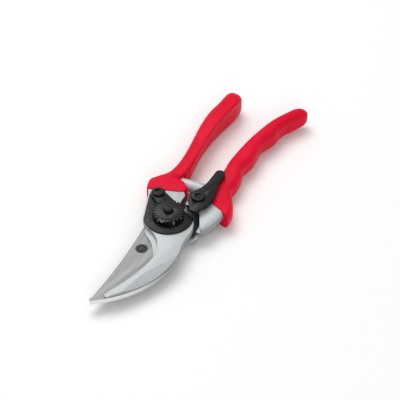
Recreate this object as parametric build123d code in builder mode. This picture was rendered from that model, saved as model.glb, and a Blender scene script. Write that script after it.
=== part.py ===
# Bypass pruning shears, closed and lying flat.
# Millimetres.  The origin is on the pivot axis, on the plane that the shears lie on.
# +X points from the pivot to the jaws, +Y to the handle of the blade, +Z up to the pivot nut.
import os
from math import cos, radians, sin, sqrt

from build123d import *

os.makedirs("parts", exist_ok=True)

# ---------------------------------------------------------------- driving dimensions
# Layers of the head, from the plane it lies on upwards
casting_foot = 1.2          # underside of the blade handle's round head
blade_seat = 6.0            # top of that head, where the blade lies
blade_thick = 3.0
hook_thick = 3.95
plate_thick = 2.0
nut_thick = 3.4
neck_foot = 2.0             # underside of the deep necks of both handles
tang_foot = 5.0             # tangs inside the grips
tang_thick = 6.0

# Fits
shear_gap = 0.05            # between the flat of the blade and the hook
running = 0.05              # radial play of a turning fit
seat_play = 0.02            # play of a bolted, keyed or moulded fit
swing_gap = 0.6             # least gap between castings that swing past each other
stack_gap = 0.03            # between flat parts stacked on one screw
thrust_gap = 0.1            # between the head of the bolt and the casting over it
mesh_gap = 0.15             # between the teeth of the nut and the toothed segment
thread_end = 0.4            # room past the end of a screw or pin

# Pivot
bolt_head_radius = 8.0
bolt_head_thick = 3.4
bolt_shank_radius = 4.5
bolt_flats = 7.4            # across the flats that key the bolt in the hook's head
bolt_thread_radius = 2.8
bolt_proud = 2.0            # thread standing out of the nut
bush_wall = 1.6
head_radius = 14.4          # blade handle's round head
head_taper = 34.0           # sides of the head and neck draw in towards the bottom
neck_taper = 28.0
deck_round = 3.4
tang_radius = 13.4          # blade's round tang

# Cutting edge: one long arc shared by the blade and the back of the hook
edge_crown = (25.1, 21.4)   # highest point of the arc
edge_radius = 62.5
blade_tip_x = 73.74
blade_heel_x = 29.46
edge_mid_x = 53.0
hook_inset = 0.25           # hook's back inside the cutting edge
hook_tip_x = 67.16
hook_root_x = 27.27
grind_wide = 0.5            # grind under the cutting edge
bevel_start = (19.0, 22.6)  # bevel along the back of the hook
bevel_angle = -20.5
bevel_slope = 0.72
nose_thin_start = 47.0      # the nose thins from here on
nose_thin_end = 72.0
nose_thin = 3.0
throat_ledge = 1.2          # ledge in the throat, above the blade

# Head plate, nut and lock
plate_radius = 14.8
plate_boss = (-11.2, -14.4)
plate_boss_radius = 5.4
plate_bevel = 0.9
nut_radius = 9.4
nut_teeth = 24
nut_tooth_deep = 1.2
nut_tooth_gap = 1.1
nut_step_wide = 1.9
nut_step = 0.4
lock_thick = 1.6
lock_screw_radius = 2.0
lock_screw_long = 9.0
lock_head_radius = 3.8
lock_head_thick = 1.5
recess_across = 3.4         # across the flats of the screws' sockets
recess_deep = 1.0
rim_chamfer = 0.5           # on the rims of the heads and the end of the bolt
segment_rim = 1.0           # the segment's round end is this much inside the boss

# Catch
catch_pivot = (-19.5, 8.4)
catch_rise = 0.3            # nose of the catch above the plate
catch_thick = 2.2
lever_drop = 0.9            # lever hangs lower than the nose
catch_boss_radius = 5.0
catch_play = 0.06           # free height of the catch on its screw
catch_shoulder_radius = 2.5
catch_thread_radius = 1.9
catch_thread_long = 6.0
catch_head_radius = 4.4
catch_head_thick = 1.5
catch_washer_radius = 4.6
catch_washer_thick = 0.3

# Grips; each section below is x, middle y, width, low z, high z
grip_corner = 4.0
coat_gap = 0.4              # between the coat and the boss of the head plate

# Return spring, its seats and the bumper
spring_x = -34.0
spring_z = 8.0
spring_y_low = -14.2        # ends of the spring
spring_y_high = 5.8
spring_small_radius = 3.0
spring_large_radius = 5.0
spring_strip = 0.9
spring_play = 1.0           # room round each end of the spring
peg_radius = 1.0            # cast pegs that hold the spring's ends
peg_long = 4.0
peg_root = 3.0
pin_radius = 1.5
pin_spacing = 21.0
pin_deep = 3.0
pin_angle = 150.0

# ---------------------------------------------------------------- derived levels
shear_z = blade_seat + blade_thick
hook_foot = shear_z + shear_gap
hook_top = hook_foot + hook_thick
plate_top = hook_top + plate_thick
nut_top = plate_top + nut_thick
bush_radius = bolt_shank_radius + running + bush_wall
bolt_seat = bolt_head_thick + thrust_gap
neck_clear = head_radius + swing_gap
catch_low = plate_top + catch_rise
catch_high = catch_low + catch_thick
lever_low = catch_low - lever_drop
catch_boss_foot = hook_top + stack_gap + catch_washer_thick + catch_play
catch_head_foot = catch_high + catch_play
pocket_deep = 2 * grip_corner
over = 5.0                  # reach of a cutting tool past the metal
deck_clear = 17.9           # step of the blade handle's deck beside the hook's head
deck_step = (-1.6, 20.6)    # end of that step
deck_nose = (-2.4, 22.6)


def on_circle(radius, angle, centre=(0, 0)):
    """Point at a radius and an angle in degrees about a centre."""
    return (
        centre[0] + radius * cos(radians(angle)),
        centre[1] + radius * sin(radians(angle)),
    )


def on_edge(radius, x):
    """Point at a given X on an arc about the centre of the cutting edge."""
    centre_x = edge_crown[0]
    centre_y = edge_crown[1] - edge_radius
    return (x, centre_y + sqrt(radius**2 - (x - centre_x) ** 2))


def keyed_outline(play):
    """Round with two flats."""
    Circle(bolt_shank_radius + play)
    Rectangle(bolt_flats + 2 * play, 4 * bolt_shank_radius, mode=Mode.INTERSECT)


def section_corner(wide, tall):
    """Corner radius of a grip's rounded section."""
    return min(grip_corner, 0.45 * wide, 0.45 * tall)


# ---------------------------------------------------------------- blade
heel = (18.6, 19.4)
with BuildPart() as blade:
    with BuildSketch(Plane.XY.offset(blade_seat)):
        with BuildLine():
            tip = on_edge(edge_radius, blade_tip_x)
            mid = on_edge(edge_radius, edge_mid_x)
            back = on_edge(edge_radius, blade_heel_x)
            ThreePointArc(tip, mid, back)
            ThreePointArc(back, (23.6, 20.9), heel)
            Line(heel, (4.0, 14.0))
            Line((4.0, 14.0), (4.0, -12.0))
            Line((4.0, -12.0), (10.0, -10.2))
            ThreePointArc((10.0, -10.2), (40.0, -5.6), (71.4, -3.6))
            Line((71.4, -3.6), (73.2, -4.1))
            ThreePointArc((73.2, -4.1), (74.6, -3.3), tip)
        make_face()
        Circle(tang_radius)
    extrude(amount=blade_thick)
    low_arcs = blade.edges().group_by(Axis.Z)[0].filter_by(GeomType.CIRCLE)
    chamfer(low_arcs.sort_by(SortBy.LENGTH)[-1], length=grind_wide)
    with BuildSketch(Plane.XY.offset(blade_seat)):
        Circle(bush_radius + seat_play)
        with PolarLocations(pin_spacing / 2, 2, start_angle=pin_angle):
            Circle(pin_radius + seat_play)
    extrude(amount=blade_thick, mode=Mode.SUBTRACT)
blade.part.label = "blade"

# ---------------------------------------------------------------- blade handle
with BuildPart() as blade_handle:
    # round head, with a lobe under the heel of the blade
    with BuildSketch(Plane.XY.offset(blade_seat)):
        Circle(head_radius)
        with BuildLine():
            Line((0.0, 0.0), (14.2, 2.0))
            Line((14.2, 2.0), (13.8, 14.2))
            ThreePointArc((13.8, 14.2), (4.0, 19.2), (-6.3, 21.1))
            Line((-6.3, 21.1), (-22.0, 12.0))
            Line((-22.0, 12.0), (0.0, 0.0))
        make_face()
    extrude(amount=casting_foot - blade_seat, taper=head_taper)
    # neck, its sides drawn in towards the bottom
    with BuildSketch(Plane.XY.offset(shear_z)):
        with BuildLine():
            ThreePointArc(deck_nose, (-14.0, 25.4), (-29.0, 25.0))
            Polyline((-29.0, 25.0), (-36.5, 18.2), (-36.5, 7.6), (-28.6, 5.4), (-24.4, 0.8))
            Polyline((-24.4, 0.8), (-20.6, 0.0), (-10.0, 0.6), (0.0, 8.0), deck_step, deck_nose)
        make_face()
    extrude(amount=neck_foot - shear_z, taper=neck_taper)
    # room for the blade's tang, and for the hook's head as it swings past
    with BuildSketch(Plane.XY.offset(blade_seat)):
        Circle(deck_clear)
    extrude(amount=shear_z - blade_seat, mode=Mode.SUBTRACT)
    # raised deck
    with BuildSketch(Plane.XY.offset(shear_z)):
        with BuildLine():
            Polyline((-9.3, 15.3), deck_step, deck_nose)
            ThreePointArc(deck_nose, (-14.0, 25.4), (-29.0, 25.0))
            Polyline((-29.0, 25.0), (-36.5, 18.2), (-36.5, 7.6), (-26.0, 5.4), (-20.0, 2.4))
            Polyline((-20.0, 2.4), (-17.2, 2.4), (-9.3, 15.3))
        make_face()
        Circle(deck_clear, mode=Mode.SUBTRACT)
    extrude(amount=hook_top - shear_z)
    deck_rim = blade_handle.edges().group_by(Axis.Z)[-1].filter_by(GeomType.CIRCLE)
    fillet(deck_rim.sort_by(SortBy.RADIUS)[-1], radius=deck_round)
    # tang inside the grip
    with BuildSketch(Plane.XY.offset(tang_foot)):
        with BuildLine():
            Spline([(-34.0, 16.4), (-46.0, 16.4), (-58.0, 13.4), (-88.0, 12.0), (-117.0, 17.4)])
            Line((-117.0, 17.4), (-117.0, 14.6))
            Spline([(-117.0, 14.6), (-98.0, 9.4), (-78.0, 7.4), (-46.0, 9.4), (-34.0, 9.6)])
            Line((-34.0, 9.6), (-34.0, 16.4))
        make_face()
    extrude(amount=tang_thick)
    # seat of the blade, bore of the bush, and room for the head of the bolt
    with BuildSketch(Plane.XY.offset(casting_foot)):
        Circle(bolt_head_radius + running)
    extrude(amount=bolt_seat - casting_foot, mode=Mode.SUBTRACT)
    with BuildSketch(Plane.XY.offset(bolt_seat)):
        Circle(bush_radius + seat_play)
    extrude(amount=blade_seat - bolt_seat, mode=Mode.SUBTRACT)
    with BuildSketch(Plane.XY.offset(blade_seat - pin_deep)):
        with PolarLocations(pin_spacing / 2, 2, start_angle=pin_angle):
            Circle(pin_radius + seat_play)
    extrude(amount=pin_deep, mode=Mode.SUBTRACT)
    # hole of the catch's screw
    with BuildSketch(Plane.XY.offset(hook_top)):
        with Locations(catch_pivot):
            Circle(catch_thread_radius + seat_play)
    extrude(amount=-catch_thread_long - thread_end, mode=Mode.SUBTRACT)
    # pocket of the spring's wide end, open to the top
    with BuildSketch(Plane.XZ.offset(-spring_y_high)):
        with Locations((spring_x, spring_z)):
            Circle(spring_large_radius + spring_play)
            Rectangle(
                2 * (spring_large_radius + spring_play),
                hook_top,
                align=(Align.CENTER, Align.MIN),
            )
    extrude(amount=pocket_deep, mode=Mode.SUBTRACT)
    # peg of the spring's wide end
    with BuildSketch(Plane.XZ.offset(peg_long - spring_y_high)):
        with Locations((spring_x, spring_z)):
            Circle(peg_radius)
    extrude(amount=-peg_long - peg_root)
blade_handle.part.label = "blade_handle"

blade_grip_sections = [
    (-131.2, 20.6, 3.4, 6.8, 11.2),
    (-129.6, 20.2, 7.0, 3.6, 14.2),
    (-126.0, 19.0, 9.6, 2.2, 15.5),
    (-119.0, 16.2, 9.2, 1.6, 15.9),
    (-112.0, 13.5, 8.8, 1.6, 15.9),
    (-105.0, 11.9, 9.4, 1.6, 15.9),
    (-98.0, 11.4, 10.6, 1.7, 15.8),
    (-92.0, 10.2, 9.8, 1.9, 15.6),
    (-85.0, 9.3, 9.5, 2.1, 15.3),
    (-78.0, 9.8, 11.2, 2.3, 15.0),
    (-71.5, 10.3, 12.4, 2.4, 14.9),
    (-65.0, 10.0, 11.4, 2.4, 14.8),
    (-60.0, 10.1, 10.8, 2.3, 14.7),
    (-53.5, 11.8, 12.2, 2.1, 14.3),
    (-46.0, 12.7, 12.6, 1.7, 13.8),
    (-40.0, 12.6, 12.4, 1.3, 13.7),
    (-34.0, 15.0, 17.6, 1.0, 13.7),
    (-29.0, 16.8, 23.8, 0.9, 13.7),
    (-23.0, 17.0, 26.0, 0.9, 13.7),
    (-14.0, 17.0, 26.0, 0.9, 13.7),
]
with BuildPart() as blade_grip:
    for x, y, wide, low, high in blade_grip_sections:
        with BuildSketch(Plane.YZ.offset(x)):
            with Locations((y, (low + high) / 2)):
                RectangleRounded(wide, high - low, section_corner(wide, high - low))
    loft()
    # front edge of the coat, slanting over the neck
    with BuildSketch(Plane.XY):
        with BuildLine():
            Polyline(
                (-5.0, 0.0),
                (-25.4, 0.0),
                (-25.4, 13.6),
                (-22.8, 17.2),
                (-20.6, 24.4),
                (-17.0, 31.0),
                (-5.0, 31.0),
                (-5.0, 0.0),
            )
        make_face()
    extrude(amount=hook_top + over, mode=Mode.SUBTRACT)
    # pocket of the spring's wide end, open to the top
    with BuildSketch(Plane.XZ.offset(-spring_y_high)):
        with Locations((spring_x, spring_z)):
            Circle(spring_large_radius + spring_play)
            Rectangle(
                2 * (spring_large_radius + spring_play),
                hook_top,
                align=(Align.CENTER, Align.MIN),
            )
    extrude(amount=pocket_deep, mode=Mode.SUBTRACT)
    add(blade_handle.part, mode=Mode.SUBTRACT)
blade_grip.part.label = "blade_grip"

# ---------------------------------------------------------------- hook handle
with BuildPart() as hook_handle:
    with BuildSketch(Plane.XY.offset(hook_foot)):
        with BuildLine():
            back_radius = edge_radius - hook_inset
            nose = on_edge(back_radius, hook_tip_x)
            bend = on_edge(back_radius, edge_mid_x)
            root = on_edge(back_radius, hook_root_x)
            ThreePointArc(nose, bend, root)
            Spline([root, (20.2, 20.4), (13.2, 18.4), (4.2, 17.6), (-2.8, 15.4), (-5.3, 13.4)])
            Polyline((-5.3, 13.4), (-10.2, 5.2), (-12.8, -0.5), (-20.8, -1.6), (-22.7, -3.7))
            Polyline((-22.7, -3.7), (-23.4, -6.8), (-23.4, -23.0), (-17.2, -25.4), (-9.6, -20.6))
            Line((-9.6, -20.6), (6.0, -13.6))
            ThreePointArc((6.0, -13.6), (10.6, -10.4), (13.6, -5.9))
            Spline(
                [
                    (13.6, -5.9),
                    (16.3, 0.7),
                    (22.0, 6.7),
                    (29.2, 9.8),
                    (39.2, 10.1),
                    (49.2, 8.5),
                    (59.2, 4.9),
                    (66.6, 2.0),
                ]
            )
            ThreePointArc((66.6, 2.0), (68.3, 2.2), nose)
        make_face()
    extrude(amount=hook_thick)
    # ledge of the throat, low over the blade
    with BuildSketch(Plane.XY.offset(hook_foot)):
        with BuildLine():
            Spline([(13.2, -7.8), (16.6, -4.9), (19.7, 0.0), (24.0, 4.5), (31.0, 9.7)])
            Line((31.0, 9.7), (12.0, 9.7))
            Line((12.0, 9.7), (13.2, -7.8))
        make_face()
    extrude(amount=throat_ledge)
    # flat bevel down the back
    bevel_plane = Plane(
        origin=(*bevel_start, hook_top),
        x_dir=(cos(radians(bevel_angle)), sin(radians(bevel_angle)), 0),
        z_dir=(
            -bevel_slope * sin(radians(bevel_angle)),
            bevel_slope * cos(radians(bevel_angle)),
            1,
        ),
    )
    with BuildSketch(bevel_plane):
        Rectangle(60, 16, align=(Align.MIN, Align.MIN))
    extrude(amount=10, mode=Mode.SUBTRACT)
    # thinning of the nose
    with BuildSketch(Plane.XZ.offset(-30)):
        with BuildLine():
            Polyline(
                (nose_thin_start, hook_top),
                (nose_thin_end, hook_top - nose_thin),
                (nose_thin_end, hook_top + over),
                (nose_thin_start, hook_top + over),
                (nose_thin_start, hook_top),
            )
        make_face()
    extrude(amount=60, mode=Mode.SUBTRACT)
    # deep neck outside the swing of the round head
    with BuildSketch(Plane.XY.offset(neck_foot)):
        with BuildLine():
            Polyline((-12.0, -1.0), (-20.8, -1.6), (-22.7, -3.7), (-23.4, -6.8), (-33.0, -12.6))
            Polyline((-33.0, -12.6), (-33.0, -19.6), (-27.0, -21.4), (-17.2, -25.4))
            Polyline((-17.2, -25.4), (-9.6, -20.6), (-12.0, -1.0))
        make_face()
        Circle(neck_clear, mode=Mode.SUBTRACT)
    extrude(amount=hook_top - neck_foot)
    # tang inside the grip
    with BuildSketch(Plane.XY.offset(tang_foot)):
        with BuildLine():
            Spline([(-30.0, -18.4), (-45.0, -18.6), (-64.0, -21.6), (-110.0, -27.0)])
            Line((-110.0, -27.0), (-110.0, -21.0))
            Spline([(-110.0, -21.0), (-85.0, -20.2), (-64.0, -17.2), (-30.0, -12.6)])
            Line((-30.0, -12.6), (-30.0, -18.4))
        make_face()
    extrude(amount=tang_thick)
    # pocket of the spring's narrow end, open to the top
    with BuildSketch(Plane.XZ.offset(-spring_y_low)):
        with Locations((spring_x, spring_z)):
            Circle(spring_small_radius + spring_play)
            Rectangle(
                2 * (spring_small_radius + spring_play),
                hook_top,
                align=(Align.CENTER, Align.MIN),
            )
    extrude(amount=-pocket_deep, mode=Mode.SUBTRACT)
    # peg of the spring's narrow end
    with BuildSketch(Plane.XZ.offset(-peg_long - spring_y_low)):
        with Locations((spring_x, spring_z)):
            Circle(peg_radius)
    extrude(amount=peg_long + peg_root)
    # keyed hole of the bolt, and the thread of the lock screw
    with BuildSketch(Plane.XY.offset(hook_foot)):
        keyed_outline(seat_play)
    extrude(amount=hook_thick, mode=Mode.SUBTRACT)
    with BuildSketch(Plane.XY.offset(plate_top)):
        with Locations(plate_boss):
            Circle(lock_screw_radius + seat_play)
    extrude(amount=lock_thick - lock_screw_long, mode=Mode.SUBTRACT)
hook_handle.part.label = "hook_handle"

hook_grip_sections = [
    (-122.0, -25.8, 3.6, 6.4, 11.2),
    (-120.4, -25.4, 8.4, 2.8, 14.4),
    (-117.0, -24.5, 12.0, 1.2, 16.2),
    (-111.0, -23.7, 12.4, 0.5, 16.9),
    (-104.0, -23.4, 12.3, 0.3, 17.1),
    (-95.0, -23.7, 12.1, 0.4, 17.0),
    (-85.0, -23.3, 11.4, 0.9, 16.4),
    (-75.0, -22.0, 10.6, 1.6, 15.6),
    (-65.0, -20.2, 9.8, 2.2, 14.9),
    (-55.0, -18.3, 9.7, 2.2, 14.5),
    (-45.0, -16.8, 10.1, 1.8, 14.2),
    (-35.0, -16.4, 11.4, 1.2, 13.9),
    (-30.0, -16.2, 14.2, 0.9, 13.7),
    (-25.0, -15.9, 19.2, 0.9, 13.7),
    (-21.0, -15.3, 22.6, 0.9, 13.7),
    (-17.0, -14.6, 22.4, 0.9, 13.7),
    (-12.0, -13.2, 20.0, 0.9, 13.7),
]
with BuildPart() as hook_grip:
    for x, y, wide, low, high in hook_grip_sections:
        with BuildSketch(Plane.YZ.offset(x)):
            with Locations((y, (low + high) / 2)):
                RectangleRounded(wide, high - low, section_corner(wide, high - low))
    loft()
    # front edge of the coat, from the throat of the handles to the horn
    with BuildSketch(Plane.XY):
        with BuildLine():
            coat_boss = plate_boss_radius + coat_gap
            boss_side = on_circle(coat_boss, 165, plate_boss)
            boss_foot = on_circle(coat_boss, -105, plate_boss)
            Polyline((-8.0, 0.0), (-22.8, 0.0), (-22.8, -3.8), (-18.4, -10.8), boss_side)
            ThreePointArc(boss_side, on_circle(coat_boss, -150, plate_boss), boss_foot)
            Polyline(boss_foot, (-12.6, -28.0), (-8.0, -28.0), (-8.0, 0.0))
        make_face()
    extrude(amount=hook_top + over, mode=Mode.SUBTRACT)
    # pocket of the spring's narrow end, open to the top
    with BuildSketch(Plane.XZ.offset(-spring_y_low)):
        with Locations((spring_x, spring_z)):
            Circle(spring_small_radius + spring_play)
            Rectangle(
                2 * (spring_small_radius + spring_play),
                hook_top,
                align=(Align.CENTER, Align.MIN),
            )
    extrude(amount=-pocket_deep, mode=Mode.SUBTRACT)
    add(hook_handle.part, mode=Mode.SUBTRACT)
hook_grip.part.label = "hook_grip"

# ---------------------------------------------------------------- pivot
with BuildPart() as pivot_bolt:
    with BuildSketch(Plane.XY):
        Circle(bolt_head_radius)
    extrude(amount=bolt_head_thick)
    chamfer(pivot_bolt.edges().group_by(Axis.Z)[0], length=rim_chamfer)
    with BuildSketch(Plane.XY.offset(bolt_head_thick)):
        Circle(bolt_shank_radius)
    extrude(amount=hook_foot - bolt_head_thick)
    with BuildSketch(Plane.XY.offset(hook_foot)):
        keyed_outline(0)
    extrude(amount=hook_thick - thread_end)
    with BuildSketch(Plane.XY.offset(hook_foot)):
        Circle(bolt_thread_radius)
    extrude(amount=nut_top + bolt_proud - hook_foot)
    chamfer(pivot_bolt.edges().group_by(Axis.Z)[-1], length=rim_chamfer)
pivot_bolt.part.label = "pivot_bolt"

with BuildPart() as pivot_bush:
    with BuildSketch(Plane.XY.offset(bolt_seat)):
        Circle(bush_radius)
        Circle(bolt_shank_radius + running, mode=Mode.SUBTRACT)
    extrude(amount=shear_z - bolt_seat)
pivot_bush.part.label = "pivot_bush"

with BuildPart() as blade_pins:
    with BuildSketch(Plane.XY.offset(blade_seat - pin_deep)):
        with PolarLocations(pin_spacing / 2, 2, start_angle=pin_angle):
            Circle(pin_radius)
    extrude(amount=pin_deep + blade_thick - thread_end)
blade_pins.part.label = "blade_pins"

with BuildPart() as head_plate:
    with BuildSketch(Plane.XY.offset(hook_top)):
        with BuildLine():
            plate_left = on_circle(plate_radius, 113)
            plate_low = on_circle(plate_radius, -47)
            ThreePointArc(plate_left, on_circle(plate_radius, 30), plate_low)
            boss_low = on_circle(plate_boss_radius, -60, plate_boss)
            Line(plate_low, boss_low)
            boss_left = on_circle(plate_boss_radius, 150, plate_boss)
            ThreePointArc(boss_low, on_circle(plate_boss_radius, -135, plate_boss), boss_left)
            Polyline(boss_left, (-8.8, 5.4), plate_left)
        make_face()
    extrude(amount=plate_thick - plate_bevel)
    extrude(head_plate.faces().sort_by(Axis.Z)[-1], amount=plate_bevel, taper=45)
    with BuildSketch(Plane.XY.offset(hook_top)):
        Circle(bolt_thread_radius + seat_play)
        with Locations(plate_boss):
            Circle(lock_screw_radius + seat_play)
    extrude(amount=plate_thick, mode=Mode.SUBTRACT)
head_plate.part.label = "head_plate"

with BuildPart() as toothed_nut:
    with BuildSketch(Plane.XY.offset(plate_top)):
        Circle(nut_radius)
        with PolarLocations(nut_radius, nut_teeth):
            Rectangle(2 * nut_tooth_deep, nut_tooth_gap, mode=Mode.SUBTRACT)
        Circle(bolt_thread_radius + seat_play, mode=Mode.SUBTRACT)
    extrude(amount=nut_thick)
    # low step outside the flat middle
    with BuildSketch(Plane.XY.offset(nut_top)):
        Circle(nut_radius)
        Circle(nut_radius - nut_step_wide, mode=Mode.SUBTRACT)
    extrude(amount=-nut_step, mode=Mode.SUBTRACT)
toothed_nut.part.label = "toothed_nut"

with BuildPart() as tooth_segment:
    with BuildSketch(Plane.XY.offset(plate_top)):
        with Locations(plate_boss):
            Circle(plate_boss_radius - segment_rim)
        with BuildLine():
            Polyline((-14.2, -11.8), (-8.9, -6.1), (-3.6, -10.2), (-8.6, -17.6), (-14.2, -11.8))
        make_face()
        Circle(nut_radius + mesh_gap, mode=Mode.SUBTRACT)
    extrude(amount=lock_thick)
    with BuildSketch(Plane.XY.offset(plate_top)):
        with Locations(plate_boss):
            Circle(lock_screw_radius + seat_play)
    extrude(amount=lock_thick, mode=Mode.SUBTRACT)
tooth_segment.part.label = "tooth_segment"

with BuildPart() as lock_screw:
    with BuildSketch(Plane.XY.offset(plate_top + lock_thick)):
        with Locations(plate_boss):
            Circle(lock_head_radius)
    extrude(amount=lock_head_thick)
    chamfer(lock_screw.edges().group_by(Axis.Z)[-1], length=rim_chamfer)
    with BuildSketch(Plane.XY.offset(plate_top + lock_thick)):
        with Locations(plate_boss):
            Circle(lock_screw_radius)
    extrude(amount=thread_end - lock_screw_long)
    with BuildSketch(Plane.XY.offset(plate_top + lock_thick + lock_head_thick)):
        with Locations(plate_boss):
            RegularPolygon(recess_across / 2, 6, major_radius=False)
    extrude(amount=-recess_deep, mode=Mode.SUBTRACT)
lock_screw.part.label = "lock_screw"

# ---------------------------------------------------------------- catch
lever_lower = [(-14.6, 5.0), (-20.8, 2.5), (-26.4, 5.0), (-35.8, 6.1), (-44.6, 5.5)]
lever_upper = [(-45.2, 11.4), (-35.0, 12.7), (-28.0, 15.0), (-22.0, 16.2), (-15.0, 15.7)]
with BuildPart() as thumb_catch:
    with BuildSketch(Plane.XY.offset(catch_low)):
        with BuildLine():
            Spline(lever_lower)
            ThreePointArc(lever_lower[-1], (-47.0, 8.6), lever_upper[0])
            Spline(lever_upper)
            Line(lever_upper[-1], (-8.8, 14.0))
            ThreePointArc((-8.8, 14.0), (-7.8, 11.6), (-9.0, 8.6))
            Line((-9.0, 8.6), lever_lower[0])
        make_face()
    extrude(amount=catch_high - catch_low)
    with BuildSketch(Plane.XY.offset(lever_low)):
        with BuildLine():
            Spline(lever_lower)
            ThreePointArc(lever_lower[-1], (-47.0, 8.6), lever_upper[0])
            Spline(lever_upper)
            Line(lever_upper[-1], lever_lower[0])
        make_face()
    extrude(amount=catch_low - lever_low)
    with BuildSketch(Plane.XY.offset(catch_boss_foot)):
        with Locations(catch_pivot):
            Circle(catch_boss_radius)
    extrude(amount=lever_low - catch_boss_foot)
    with BuildSketch(Plane.XY.offset(catch_boss_foot)):
        with Locations(catch_pivot):
            Circle(catch_shoulder_radius + running)
    extrude(amount=catch_high - catch_boss_foot, mode=Mode.SUBTRACT)
thumb_catch.part.label = "thumb_catch"

with BuildPart() as catch_washer:
    with BuildSketch(Plane.XY.offset(hook_top + stack_gap)):
        with Locations(catch_pivot):
            Circle(catch_washer_radius)
            Circle(catch_shoulder_radius + running, mode=Mode.SUBTRACT)
    extrude(amount=catch_washer_thick)
catch_washer.part.label = "catch_washer"

with BuildPart() as catch_screw:
    with BuildSketch(Plane.XY.offset(catch_head_foot)):
        with Locations(catch_pivot):
            Circle(catch_head_radius)
    extrude(amount=catch_head_thick)
    chamfer(catch_screw.edges().group_by(Axis.Z)[-1], length=rim_chamfer)
    with BuildSketch(Plane.XY.offset(catch_head_foot)):
        with Locations(catch_pivot):
            Circle(catch_shoulder_radius)
    extrude(amount=hook_top - catch_head_foot)
    with BuildSketch(Plane.XY.offset(hook_top)):
        with Locations(catch_pivot):
            Circle(catch_thread_radius)
    extrude(amount=-catch_thread_long)
    with BuildSketch(Plane.XY.offset(catch_head_foot + catch_head_thick)):
        with Locations(catch_pivot):
            RegularPolygon(recess_across / 2, 6, major_radius=False)
    extrude(amount=-recess_deep, mode=Mode.SUBTRACT)
catch_screw.part.label = "catch_screw"

# ---------------------------------------------------------------- return spring
with BuildPart() as return_spring:
    with BuildSketch(Plane.XY.offset(spring_z)):
        with BuildLine():
            Polyline(
                (spring_x + spring_small_radius - spring_strip, spring_y_low),
                (spring_x + spring_small_radius, spring_y_low),
                (spring_x + spring_large_radius, spring_y_high),
                (spring_x + spring_large_radius - spring_strip, spring_y_high),
                (spring_x + spring_small_radius - spring_strip, spring_y_low),
            )
        make_face()
    revolve(axis=Axis((spring_x, 0, spring_z), (0, 1, 0)))
return_spring.part.label = "return_spring"

for piece in (
    blade,
    blade_handle,
    blade_grip,
    hook_handle,
    hook_grip,
    pivot_bolt,
    pivot_bush,
    blade_pins,
    head_plate,
    toothed_nut,
    tooth_segment,
    lock_screw,
    thumb_catch,
    catch_washer,
    catch_screw,
    return_spring,
):
    export_step(piece.part, "parts/" + piece.part.label + ".step")
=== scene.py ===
from math import cos, pi, radians, sin

import bpy
from mathutils import Matrix, Vector


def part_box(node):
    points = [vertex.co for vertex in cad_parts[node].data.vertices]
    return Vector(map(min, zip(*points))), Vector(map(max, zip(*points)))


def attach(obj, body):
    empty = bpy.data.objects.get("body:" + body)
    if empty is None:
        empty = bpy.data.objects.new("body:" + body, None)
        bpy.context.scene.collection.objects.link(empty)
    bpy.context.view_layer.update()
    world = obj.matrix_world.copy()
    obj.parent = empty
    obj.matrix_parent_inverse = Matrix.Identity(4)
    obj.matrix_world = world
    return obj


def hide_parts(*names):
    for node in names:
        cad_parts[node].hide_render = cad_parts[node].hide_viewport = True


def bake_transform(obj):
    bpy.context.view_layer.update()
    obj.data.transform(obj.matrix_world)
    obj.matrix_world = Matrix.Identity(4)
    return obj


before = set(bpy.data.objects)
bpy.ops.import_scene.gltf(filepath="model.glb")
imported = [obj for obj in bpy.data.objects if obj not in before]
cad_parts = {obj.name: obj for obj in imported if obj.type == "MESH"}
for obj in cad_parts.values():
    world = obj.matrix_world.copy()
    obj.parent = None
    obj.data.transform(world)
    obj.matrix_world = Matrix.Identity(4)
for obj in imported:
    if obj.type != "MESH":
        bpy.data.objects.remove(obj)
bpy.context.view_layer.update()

MM = 0.001
LEAN = 0.8          # lean of a coat's hollow side, as a share of its hollow
CAP_LONG = 7.0      # length of a coat's round end, in millimetres
CAP_TURNS = 12      # rings round that end


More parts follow.
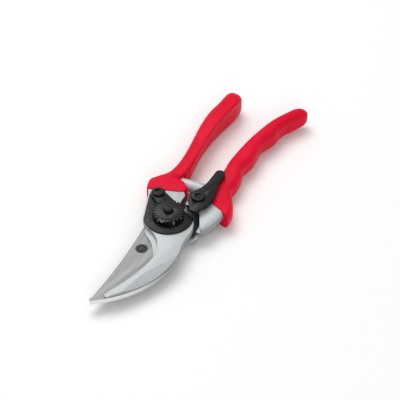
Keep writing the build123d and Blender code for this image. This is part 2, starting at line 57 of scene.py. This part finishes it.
# ------------------------------------------------------------------ node helpers
class Shader:
    """A material's node tree, with short calls for the nodes that it needs."""

    def __init__(self, name, **surface):
        self.material = bpy.data.materials.new(name)
        self.material.use_nodes = True
        self.tree = self.material.node_tree
        self.surface = self.tree.nodes["Principled BSDF"]
        for socket, value in surface.items():
            self.surface.inputs[socket.replace("_", " ")].default_value = value
        self.coord = self.tree.nodes.new("ShaderNodeTexCoord")
        self.geometry = self.tree.nodes.new("ShaderNodeNewGeometry")

    def put(self, socket, value):
        """Links an output to a socket, or sets it to a constant."""
        if isinstance(value, bpy.types.NodeSocket):
            self.tree.links.new(value, socket)
        else:
            socket.default_value = value

    def math(self, operation, a, b=0.0, clamp=False):
        node = self.tree.nodes.new("ShaderNodeMath")
        node.operation = operation
        node.use_clamp = clamp
        self.put(node.inputs[0], a)
        self.put(node.inputs[1], b)
        return node.outputs[0]

    def step(self, value, low, high):
        """0 where value is at low, 1 where it is at high, smooth in between."""
        node = self.tree.nodes.new("ShaderNodeMapRange")
        node.interpolation_type = "SMOOTHSTEP"
        self.put(node.inputs["Value"], value)
        node.inputs["From Min"].default_value = low
        node.inputs["From Max"].default_value = high
        return node.outputs["Result"]

    def ramp(self, value, low, high, out_low, out_high):
        """Straight map of a value from one range to another."""
        node = self.tree.nodes.new("ShaderNodeMapRange")
        self.put(node.inputs["Value"], value)
        node.inputs["From Min"].default_value = low
        node.inputs["From Max"].default_value = high
        node.inputs["To Min"].default_value = out_low
        node.inputs["To Max"].default_value = out_high
        return node.outputs["Result"]

    def distance(self, x0=0.0, y0=0.0):
        """Distance in plan from a point given in metres."""
        x, y = self.split(self.place())[:2]
        dx = self.math("SUBTRACT", x, x0)
        dy = self.math("SUBTRACT", y, y0)
        squares = self.math("ADD", self.math("MULTIPLY", dx, dx), self.math("MULTIPLY", dy, dy))
        return self.math("POWER", squares, 0.5)

    def facing_up(self):
        """1 on faces that lie flat, up or down, and 0 on upright ones."""
        return self.math("ABSOLUTE", self.split(self.geometry.outputs["Normal"])[2])

    def split(self, vector):
        node = self.tree.nodes.new("ShaderNodeSeparateXYZ")
        self.put(node.inputs[0], vector)
        return node.outputs

    def place(self):
        """Position on the object, which is the shared frame in metres."""
        return self.coord.outputs["Object"]

    def noise(self, scale, stretch=(1, 1, 1), detail=3.0, turn=0.0):
        mapping = self.tree.nodes.new("ShaderNodeMapping")
        mapping.inputs["Scale"].default_value = stretch
        mapping.inputs["Rotation"].default_value = (0, 0, turn)
        self.put(mapping.inputs["Vector"], self.place())
        node = self.tree.nodes.new("ShaderNodeTexNoise")
        node.inputs["Scale"].default_value = scale
        node.inputs["Detail"].default_value = detail
        self.put(node.inputs["Vector"], mapping.outputs["Vector"])
        return node.outputs["Fac"]

    def mix(self, factor, a, b):
        """Mix of two colours."""
        node = self.tree.nodes.new("ShaderNodeMix")
        node.data_type = "RGBA"
        self.put(node.inputs["Factor"], factor)
        for socket, value in ((node.inputs["A"], a), (node.inputs["B"], b)):
            self.put(socket, value if isinstance(value, bpy.types.NodeSocket) else (*value, 1.0))
        return node.outputs["Result"]

    def bump(self, height, strength, distance):
        node = self.tree.nodes.new("ShaderNodeBump")
        node.inputs["Strength"].default_value = strength
        node.inputs["Distance"].default_value = distance
        self.put(node.inputs["Height"], height)
        self.put(self.surface.inputs["Normal"], node.outputs["Normal"])

    def colour(self, value):
        self.put(self.surface.inputs["Base Color"], value)

    def roughness(self, value):
        self.put(self.surface.inputs["Roughness"], value)


# ------------------------------------------------------------------ materials
def red_coat():
    """Dipped plastic: saturated red, satin, with a faint orange peel and handling marks."""
    m = Shader("red_coat", Roughness=0.42, Specular_IOR_Level=0.10)
    cloud = m.noise(55.0, detail=4.0)
    m.colour(m.mix(m.step(cloud, 0.35, 0.7), (0.66, 0.002, 0.024), (0.73, 0.004, 0.034)))
    m.roughness(m.ramp(m.noise(160.0), 0.3, 0.7, 0.36, 0.50))
    m.bump(m.noise(1500.0, detail=2.0), 0.12, 0.0002)
    return m.material


def cast_metal(name, shaded):
    """Aluminium casting: machined grain on flat faces, upright faces painted a darker pitted grey as
    painted shade, and near black painted shade where shaded() says.
    """
    m = Shader(name, Metallic=0.10, Roughness=0.5)
    up = m.facing_up()
    side = m.step(up, 0.72, 0.45)
    grain = m.noise(700.0, stretch=(1, 0.12, 1), detail=4.0, turn=0.35)
    pits = m.noise(1300.0, detail=3.0)
    top = m.mix(grain, (0.43, 0.45, 0.46), (0.54, 0.56, 0.57))
    # painted shade: upright faces get a darker grey than flat ones, with random pits
    painted_side_shade = m.mix(pits, (0.24, 0.25, 0.26), (0.40, 0.41, 0.42))
    # painted shade: near black where the shaded() mask lies, at the crotch and the neck wall
    dark = m.mix(pits, (0.018, 0.020, 0.023), (0.045, 0.048, 0.052))
    m.colour(m.mix(shaded(m, side), m.mix(side, top, painted_side_shade), dark))
    m.roughness(m.math("ADD", m.math("MULTIPLY", side, 0.14), m.ramp(grain, 0.3, 0.7, 0.42, 0.54)))
    m.bump(m.mix(side, (0.5, 0.5, 0.5), pits), 0.25, 0.0002)
    return m.material


def shade_beside_head(m, side):
    """Painted shade: the blade handle's step round the hook's head and the seat below it, painted near
    black.
    """
    x = m.split(m.place())[0]
    return m.math("MULTIPLY", m.step(x, 5 * MM, 0 * MM), m.step(m.distance(), 18.3 * MM, 17.95 * MM))


def shade_on_neck_wall(m, side):
    """Painted shade: the wall of the hook handle's neck that faces the other handle, painted near black.
    """
    x, y = m.split(m.place())[:2]
    inside = m.math("MULTIPLY", m.step(x, -11 * MM, -13 * MM), m.step(y, -9 * MM, -8 * MM))
    return m.math("MULTIPLY", side, inside)


def blade_steel():
    """Ground steel, brushed across the blade, with a painted highlight on its upright walls that
    brightens towards the tip, and a round dark mark.
    """
    m = Shader("blade_steel", Metallic=0.25, Roughness=0.46)
    up = m.facing_up()
    side = m.step(up, 0.8, 0.5)
    x = m.split(m.place())[0]
    brush = m.noise(1500.0, stretch=(0.05, 1, 1), detail=2.0, turn=0.75)
    top = m.mix(m.step(brush, 0.3, 0.7), (0.25, 0.25, 0.253), (0.34, 0.34, 0.343))
    # painted highlight: upright walls light grey, brightening to near white towards the tip
    wall = m.mix(m.step(x, 30 * MM, 64 * MM), (0.36, 0.37, 0.38), (0.80, 0.81, 0.82))
    metal = m.mix(side, top, wall)
    # printed mark: a dark disc inside a thin light ring
    far = m.distance(26.5 * MM, -1.2 * MM)
    on_top = m.math("SUBTRACT", 1.0, side)
    disc = m.math("MULTIPLY", m.step(far, 3.7 * MM, 3.55 * MM), on_top)
    ring = m.math("MULTIPLY", m.step(far, 2.9 * MM, 3.0 * MM), m.step(far, 3.3 * MM, 3.2 * MM))
    core = m.math("MULTIPLY", m.step(far, 1.5 * MM, 1.2 * MM), m.step(m.noise(900.0), 0.45, 0.6))
    ink = m.mix(m.math("ADD", m.math("MULTIPLY", ring, 0.5), m.math("MULTIPLY", core, 0.5)),
                (0.008, 0.008, 0.009), (0.16, 0.16, 0.16))
    m.colour(m.mix(disc, metal, ink))
    m.roughness(m.ramp(brush, 0.3, 0.7, 0.42, 0.54))
    m.bump(brush, 0.10, 0.0001)
    return m.material


def black_steel(name, shine):
    """Blackened steel: near black, semi-gloss, with fine pits and a grey bloom."""
    m = Shader(name, Metallic=0.0, Roughness=shine, Specular_IOR_Level=0.26)
    bloom = m.noise(240.0, detail=5.0)
    m.colour(m.mix(m.step(bloom, 0.4, 0.75), (0.0035, 0.0035, 0.004), (0.009, 0.009, 0.0095)))
    m.roughness(m.ramp(m.noise(420.0), 0.3, 0.7, shine - 0.06, shine + 0.10))
    m.bump(m.noise(1700.0, detail=3.0), 0.22, 0.0002)
    return m.material


def nut_painted_glints():
    """Blackened nut with painted highlights: glints of bare steel painted on the tooth flanks, on the
    side towards the jaws.
    """
    m = Shader("nut_painted_glints", Roughness=0.4, Specular_IOR_Level=0.30)
    x, y = m.split(m.place())[:2]
    far = m.distance()
    up = m.facing_up()
    flank = m.math("MULTIPLY", m.step(far, 7.6 * MM, 8.2 * MM), m.step(up, 0.5, 0.2))
    ahead = m.step(m.math("ADD", x, m.math("MULTIPLY", y, 0.5)), 2 * MM, 7 * MM)
    # painted highlight: bright metal glints on a few tooth flanks of the front side
    painted_glint = m.math("MULTIPLY", m.math("MULTIPLY", flank, ahead), m.step(m.noise(300.0), 0.50, 0.62))
    base = m.mix(m.noise(260.0), (0.0035, 0.0035, 0.004), (0.009, 0.009, 0.0095))
    m.colour(m.mix(painted_glint, base, (0.75, 0.76, 0.77)))
    m.put(m.surface.inputs["Metallic"], painted_glint)
    m.bump(m.noise(1700.0, detail=3.0), 0.2, 0.0002)
    return m.material


def bright_steel(name, tint):
    """Bright wire or bearing metal with fine drawn lines."""
    m = Shader(name, Metallic=0.35, Roughness=0.42)
    lines = m.noise(1800.0, stretch=(1, 0.2, 1), detail=2.0)
    light = tuple(min(1.0, c * 1.25) for c in tint)
    m.colour(m.mix(lines, tint, light))
    m.roughness(m.ramp(lines, 0.3, 0.7, 0.36, 0.50))
    m.bump(lines, 0.12, 0.0001)
    return m.material


red = red_coat()
hook_casting = cast_metal("hook_casting", shade_on_neck_wall)
blade_casting = cast_metal("blade_casting", shade_beside_head)
steel = blade_steel()
black = black_steel("black_steel", 0.40)
black_catch = black_steel("black_catch", 0.34)
nut_black = nut_painted_glints()
spring_steel = bright_steel("spring_steel", (0.56, 0.57, 0.58))
bronze = bright_steel("bush_bronze", (0.55, 0.36, 0.20))

finishes = {
    "hook_handle": hook_casting,
    "blade_handle": blade_casting,
    "hook_grip": red,
    "blade_grip": red,
    "blade": steel,
    "pivot_bolt": black,
    "head_plate": black,
    "toothed_nut": nut_black,
    "tooth_segment": black,
    "lock_screw": black,
    "thumb_catch": black_catch,
    "catch_screw": black_catch,
    "catch_washer": spring_steel,
    "pivot_bush": bronze,
    "blade_pins": spring_steel,
    "return_spring": spring_steel,
}
for node, material in finishes.items():
    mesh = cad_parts[node].data
    mesh.materials.clear()
    mesh.materials.append(material)


# ------------------------------------------------------------------ edges of the CAD nodes
def soften(node, width, angle=32):
    """Merges flat triangles and rounds the edges of a CAD node with modifiers."""
    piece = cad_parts[node]
    weld = piece.modifiers.new("weld", "WELD")
    weld.merge_threshold = 1e-6
    flat = piece.modifiers.new("flat", "DECIMATE")
    flat.decimate_type = "DISSOLVE"
    flat.angle_limit = radians(1.0)
    bevel = piece.modifiers.new("bevel", "BEVEL")
    bevel.width = width
    bevel.segments = 2
    bevel.limit_method = "ANGLE"
    bevel.angle_limit = radians(angle)
    bevel.harden_normals = True
    piece.data.polygons.foreach_set("use_smooth", [True] * len(piece.data.polygons))


for node, width in {
    "hook_handle": 0.22,
    "blade_handle": 0.30,
    "blade": 0.10,
    "head_plate": 0.18,
    "toothed_nut": 0.10,
    "tooth_segment": 0.15,
    "lock_screw": 0.15,
    "pivot_bolt": 0.15,
    "thumb_catch": 0.45,
    "catch_screw": 0.18,
}.items():
    soften(node, width * MM)


# ------------------------------------------------------------------ mesh helpers
def add_mesh(name, points, faces, material, body):
    """A smooth mesh piece from points in metres, riding on a body."""
    mesh = bpy.data.meshes.new(name)
    mesh.from_pydata(points, [], faces)
    mesh.polygons.foreach_set("use_smooth", [True] * len(mesh.polygons))
    mesh.materials.append(material)
    mesh.update()
    piece = bpy.data.objects.new(name, mesh)
    bpy.context.collection.objects.link(piece)
    if body:
        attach(piece, body)
    return piece


def skin(rings):
    """Points and faces of a closed skin over equal rings of points, capped at both ends."""
    size = len(rings[0])
    points = [p for ring in rings for p in ring]
    faces = []
    for i in range(len(rings) - 1):
        for j in range(size):
            k = (j + 1) % size
            faces.append((i * size + j, i * size + k, (i + 1) * size + k, (i + 1) * size + j))
    faces.append(tuple(reversed(range(size))))
    faces.append(tuple((len(rings) - 1) * size + j for j in range(size)))
    return points, faces


def smooth_row(table, x):
    """Row of a table at x, by Catmull-Rom between its rows; the first column is x."""
    rows = sorted(table)
    x = min(max(x, rows[0][0]), rows[-1][0])
    i = max(k for k in range(len(rows) - 1) if rows[k][0] <= x)
    p0, p1 = rows[max(i - 1, 0)], rows[i]
    p2, p3 = rows[i + 1], rows[min(i + 2, len(rows) - 1)]
    t = (x - p1[0]) / (p2[0] - p1[0])
    out = []
    for c in range(1, len(p1)):
        m1 = (p2[c] - p0[c]) / (p2[0] - p0[0]) * (p2[0] - p1[0])
        m2 = (p3[c] - p1[c]) / (p3[0] - p1[0]) * (p2[0] - p1[0])
        a = 2 * t**3 - 3 * t**2 + 1
        b = t**3 - 2 * t**2 + t
        d = -2 * t**3 + 3 * t**2
        e = t**3 - t**2
        out.append(a * p1[c] + b * m1 + d * p2[c] + e * m2)
    return out


def along(pairs, y):
    """Straight-line value at y from (y, value) pairs in rising order of y."""
    if y <= pairs[0][0]:
        return pairs[0][1]
    for (ya, va), (yb, vb) in zip(pairs, pairs[1:]):
        if y <= yb:
            return va + (vb - va) * (y - ya) / (yb - ya)
    return pairs[-1][1]


def section_ring(y, wide, low, high, corners, hollow, steps=9):
    """(y, z) points round a rectangle whose four corners have their own radii.

    corners are those at +Y top, -Y top, -Y bottom and +Y bottom.  The +Y side is scooped by
    hollow, and leans in by a share of it towards the bottom.
    """
    z = (low + high) / 2
    half_w, half_t = wide / 2, (high - low) / 2
    ring = []
    for n, (sy, sz) in enumerate(((1, 1), (-1, 1), (-1, -1), (1, -1))):
        r = min(corners[n], 0.96 * half_w, 0.96 * half_t)
        cy, cz = y + sy * (half_w - r), z + sz * (half_t - r)
        if n == 0:  # points up the straight of the +Y side, for the hollow
            for k in range(1, steps):
                ring.append((y + half_w, z + (half_t - r) * k / steps))
        for k in range(steps):
            a = pi / 2 * (n + k / (steps - 1))
            ring.append((cy + r * cos(a), cz + r * sin(a)))
    scooped = []
    for py, pz in ring:
        rise = (pz - low) / (high - low)
        share = max(0.0, (py - y) / half_w)
        scooped.append((py - hollow * share * (sin(pi * rise) + LEAN * (1 - rise)), pz))
    return scooped


def grip_mesh(name, node, body, table, front, corners, warp_from):
    """Moulded coat: a skin along the handle, round at its end and cut slanting at the front.

    front gives (y, x) of the front edge; the rings slant towards it from warp_from on.
    """
    tip = table[0][0]
    last = table[-1][0]
    rings = []

    def ring_at(x, scale=1.0, shrink=0.0):
        y, wide, low, high = smooth_row(table, x)
        middle = (low + high) / 2
        w = max(wide * scale - 2 * shrink, 0.2)
        t = max((high - low) * scale - 2 * shrink, 0.2)
        *radii, hollow = smooth_row(corners, x)
        radii = [r * max(scale, 0.25) for r in radii]
        return section_ring(y, w, middle - t / 2, middle + t / 2, radii, hollow * scale)

    for k in range(1, CAP_TURNS):
        a = pi / 2 * k / CAP_TURNS
        x = tip + CAP_LONG * (1 - cos(a))
        rings.append([(x * MM, y * MM, z * MM) for y, z in ring_at(x, sin(a) ** 0.85)])
    x = tip + CAP_LONG
    while x < warp_from:
        rings.append([(x * MM, y * MM, z * MM) for y, z in ring_at(x)])
        x += 1.0
    rows = int(last - warp_from)
    for k in range(rows + 1):
        s = k / rows
        nominal = warp_from + s * (last - warp_from)
        ring = ring_at(nominal)
        rings.append(
            [((warp_from + s * (along(front, y) - warp_from)) * MM, y * MM, z * MM) for y, z in ring]
        )
    # the front edge rounds over and closes
    for forward, shrink in ((0.22, 0.10), (0.34, 0.32), (0.30, 0.60), (0.10, 2.2)):
        outer = ring_at(last)
        ring = ring_at(last, shrink=shrink)
        rings.append(
            [((along(front, yo) + forward) * MM, y * MM, z * MM) for (yo, _), (y, z) in zip(outer, ring)]
        )
    piece = add_mesh(name, *skin(rings), red, body)
    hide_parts(node)
    return piece


# ------------------------------------------------------------------ coats of the handles
# each row: x, middle y, width, low z, high z, in millimetres
blade_coat_rows = [
    (-131.2, 20.2, 10.2, 2.4, 15.3),
    (-126.0, 19.0, 9.8, 2.0, 15.6),
    (-119.0, 16.2, 9.2, 1.6, 15.9),
    (-112.0, 13.5, 8.8, 1.6, 15.9),
    (-105.0, 11.9, 9.4, 1.6, 15.9),
    (-98.0, 11.4, 10.6, 1.7, 15.8),
    (-92.0, 10.2, 9.8, 1.9, 15.6),
    (-85.0, 9.3, 9.5, 2.1, 15.3),
    (-78.0, 9.8, 11.2, 2.3, 15.0),
    (-71.5, 10.3, 12.4, 2.4, 14.9),
    (-65.0, 10.0, 11.4, 2.4, 14.8),
    (-60.0, 10.1, 10.8, 2.3, 14.7),
    (-53.5, 11.8, 12.2, 2.1, 14.3),
    (-46.0, 12.7, 12.6, 1.7, 13.8),
    (-40.0, 12.6, 12.4, 1.3, 13.7),
    (-34.0, 15.0, 17.6, 1.0, 13.7),
    (-29.0, 16.8, 23.8, 0.9, 13.7),
    (-25.0, 16.9, 25.4, 0.9, 13.7),
]
blade_coat_front = [(4.0, -25.6), (13.6, -25.6), (17.2, -23.0), (24.4, -20.8), (30.0, -18.2)]
# x, the corner radii at +Y top, -Y top, -Y bottom and +Y bottom, and the hollow of the +Y side
blade_coat_corners = [
    (-131.0, 4.6, 4.6, 4.6, 4.6, 0.0),
    (-42.0, 4.2, 4.0, 4.4, 4.6, 0.0),
    (-34.0, 3.6, 4.0, 4.4, 6.1, 0.0),
    (-18.0, 3.6, 4.0, 4.4, 6.1, 0.0),
]
grip_mesh("blade_coat", "blade_grip", "blade_half", blade_coat_rows, blade_coat_front,
          corners=blade_coat_corners, warp_from=-36.0)

hook_coat_rows = [
    (-122.0, -25.0, 11.6, 1.4, 16.0),
    (-117.0, -24.4, 12.0, 0.9, 16.5),
    (-111.0, -23.7, 12.4, 0.5, 16.9),
    (-104.0, -23.4, 12.3, 0.4, 17.0),
    (-95.0, -23.7, 12.1, 0.4, 17.0),
    (-85.0, -23.3, 11.4, 0.9, 16.4),
    (-75.0, -22.0, 10.6, 1.6, 15.6),
    (-65.0, -20.2, 9.8, 2.2, 14.9),
    (-55.0, -18.3, 9.7, 2.2, 14.5),
    (-45.0, -16.8, 10.1, 1.8, 14.2),
    (-35.0, -16.4, 11.4, 1.2, 13.9),
    (-30.0, -16.2, 14.2, 0.9, 13.7),
    (-25.0, -15.9, 19.2, 0.9, 13.7),
    (-21.0, -15.6, 23.2, 0.9, 13.7),
    (-17.0, -15.1, 23.4, 0.9, 13.7),
    (-13.0, -14.2, 21.8, 0.9, 13.7),
]
hook_coat_front = [
    (-27.2, -15.6),
    (-20.4, -13.1),
    (-17.4, -16.9),
    (-14.0, -17.9),
    (-10.8, -18.8),
    (-3.8, -23.2),
]
hook_coat_corners = [
    (-122.0, 5.6, 5.4, 5.0, 4.8, 0.0),
    (-112.0, 3.0, 5.0, 5.0, 4.4, 0.5),
    (-100.0, 1.5, 4.6, 5.0, 4.4, 1.0),
    (-60.0, 1.5, 4.6, 5.0, 4.4, 0.9),
    (-40.0, 2.4, 4.6, 5.0, 4.4, 0.3),
    (-34.0, 2.4, 3.8, 5.0, 4.4, 0.0),
    (-27.0, 2.4, 1.6, 4.0, 4.4, 0.0),
    (-12.0, 2.4, 1.2, 3.0, 4.4, 0.0),
]
hook_coat = grip_mesh("hook_coat", "hook_grip", "hook_half", hook_coat_rows, hook_coat_front,
                      corners=hook_coat_corners, warp_from=-36.0)


def cut_pocket(piece, radius, y_floor, y_open):
    """Scoops a round-bottomed slot, open to the top, that the spring's end sits in."""
    low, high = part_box("return_spring")
    x, z = (low[0] + high[0]) / 2, (low[2] + high[2]) / 2
    outline = [(x + radius * cos(a), z + radius * sin(a))
               for a in (pi + pi * k / 16 for k in range(17))]
    above = z + 20 * MM
    outline += [(x + radius, above), (x - radius, above)]
    rings = [[(px, y, pz) for px, pz in outline] for y in (y_open, y_floor)]
    cutter = add_mesh("pocket_cutter", *skin(rings), red, None)
    boolean = piece.modifiers.new("pocket", "BOOLEAN")
    boolean.operation = "DIFFERENCE"
    boolean.object = cutter
    boolean.solver = "EXACT"
    depsgraph = bpy.context.evaluated_depsgraph_get()
    result = bpy.data.meshes.new_from_object(piece.evaluated_get(depsgraph))
    piece.modifiers.clear()
    piece.data = result
    bpy.data.objects.remove(cutter)


pocket_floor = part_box("return_spring")[0][1] + 1.4 * MM
cut_pocket(hook_coat, 3.6 * MM, pocket_floor, pocket_floor + 8 * MM)


# ------------------------------------------------------------------ return spring
def volute_spring():
    """Wound strip: each turn overlaps the next, so that the spring is a stepped cone."""
    low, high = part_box("return_spring")
    y0, y1 = low[1], high[1]
    x0, z0 = (low[0] + high[0]) / 2, (low[2] + high[2]) / 2
    wide = (high[0] - low[0]) / 2
    narrow = wide * 0.60
    turns, per_turn = 11, 36
    pitch = (y1 - y0) / (turns + 0.9)
    band, thick, lean = pitch * 1.35, 0.38 * MM, 0.30 * MM
    rings = []
    for k in range(turns * per_turn + 1):
        t = k / (turns * per_turn)
        a = 2 * pi * turns * t
        y = y0 + (y1 - y0 - band) * t
        r = narrow + (wide - narrow) * t - lean
        profile = ((y, r - thick), (y, r), (y + band * 0.5, r + lean * 0.7), (y + band, r + lean),
                   (y + band, r + lean - thick), (y + band * 0.5, r + lean * 0.7 - thick))
        rings.append([(x0 + q * cos(a), p, z0 + q * sin(a)) for p, q in profile])
    piece = add_mesh("volute_spring", *skin(rings), spring_steel, None)
    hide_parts("return_spring")
    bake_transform(piece)
    return piece


volute_spring()


# ------------------------------------------------------------------ floor, light and camera
def plain_material(name, colour, roughness):
    m = Shader(name, Roughness=roughness)
    m.colour(m.mix(m.noise(6.0), colour, tuple(c * 0.985 for c in colour)))
    return m.material


def floor():
    size = 3.0
    corners = [(-size, -size, 0), (size, -size, 0), (size, size, 0), (-size, size, 0)]
    mesh = bpy.data.meshes.new("floor")
    mesh.from_pydata(corners, [], [(0, 1, 2, 3)])
    mesh.materials.append(plain_material("paper", (0.93, 0.93, 0.93), 0.9))
    piece = bpy.data.objects.new("floor", mesh)
    piece.location = (0, 0, -0.0002)
    bpy.context.collection.objects.link(piece)


def area_light(name, place, target, size, power):
    data = bpy.data.lights.new(name, "AREA")
    data.shape = "DISK"
    data.size = size
    data.energy = power
    lamp = bpy.data.objects.new(name, data)
    lamp.location = place
    lamp.rotation_mode = "QUATERNION"
    lamp.rotation_quaternion = (Vector(target) - Vector(place)).to_track_quat("-Z", "Y")
    bpy.context.collection.objects.link(lamp)


def sky():
    """Soft studio: white overhead, a little darker towards the horizon."""
    world = bpy.data.worlds.new("studio")
    bpy.context.scene.world = world
    world.use_nodes = True
    tree = world.node_tree
    background = tree.nodes["Background"]
    coord = tree.nodes.new("ShaderNodeTexCoord")
    parts = tree.nodes.new("ShaderNodeSeparateXYZ")
    tree.links.new(coord.outputs["Generated"], parts.inputs[0])
    strength = tree.nodes.new("ShaderNodeMapRange")
    strength.inputs["From Min"].default_value = 0.0
    strength.inputs["From Max"].default_value = 0.9
    strength.inputs["To Min"].default_value = 0.30
    strength.inputs["To Max"].default_value = 0.68
    tree.links.new(parts.outputs["Z"], strength.inputs["Value"])
    tree.links.new(strength.outputs["Result"], background.inputs["Strength"])
    background.inputs["Color"].default_value = (1.0, 1.0, 1.0, 1.0)


def camera():
    """Long lens over the jaws, looking back along the handles."""
    azimuth, elevation = radians(121.7), radians(43.0)
    distance, scale = 0.680, 1.71
    back = Vector((sin(azimuth) * cos(elevation), -cos(azimuth) * cos(elevation), sin(elevation)))
    right = Vector((cos(azimuth), sin(azimuth), 0))
    up = back.cross(right)
    focal = scale * distance / MM
    off_right, off_up = -31.4 / focal, -21.9 / focal
    pivot = Vector((0, 0, 0.009))
    data = bpy.data.cameras.new("camera")
    data.sensor_width = 36.0
    data.lens = focal * 36.0 / 400.0
    piece = bpy.data.objects.new("camera", data)
    piece.rotation_mode = "QUATERNION"
    piece.rotation_quaternion = Matrix((right, up, back)).transposed().to_quaternion()
    piece.location = pivot - distance * (-back + off_right * right + off_up * up)
    bpy.context.collection.objects.link(piece)
    bpy.context.scene.camera = piece


floor()
sky()
area_light("overhead", (-0.25, -0.35, 0.9), (0, 0, 0), 0.7, 5.2)
area_light("front", (0.7, 0.5, 0.45), (0, 0, 0), 0.35, 2.0)
camera()
bpy.context.scene.view_settings.view_transform = "Standard"
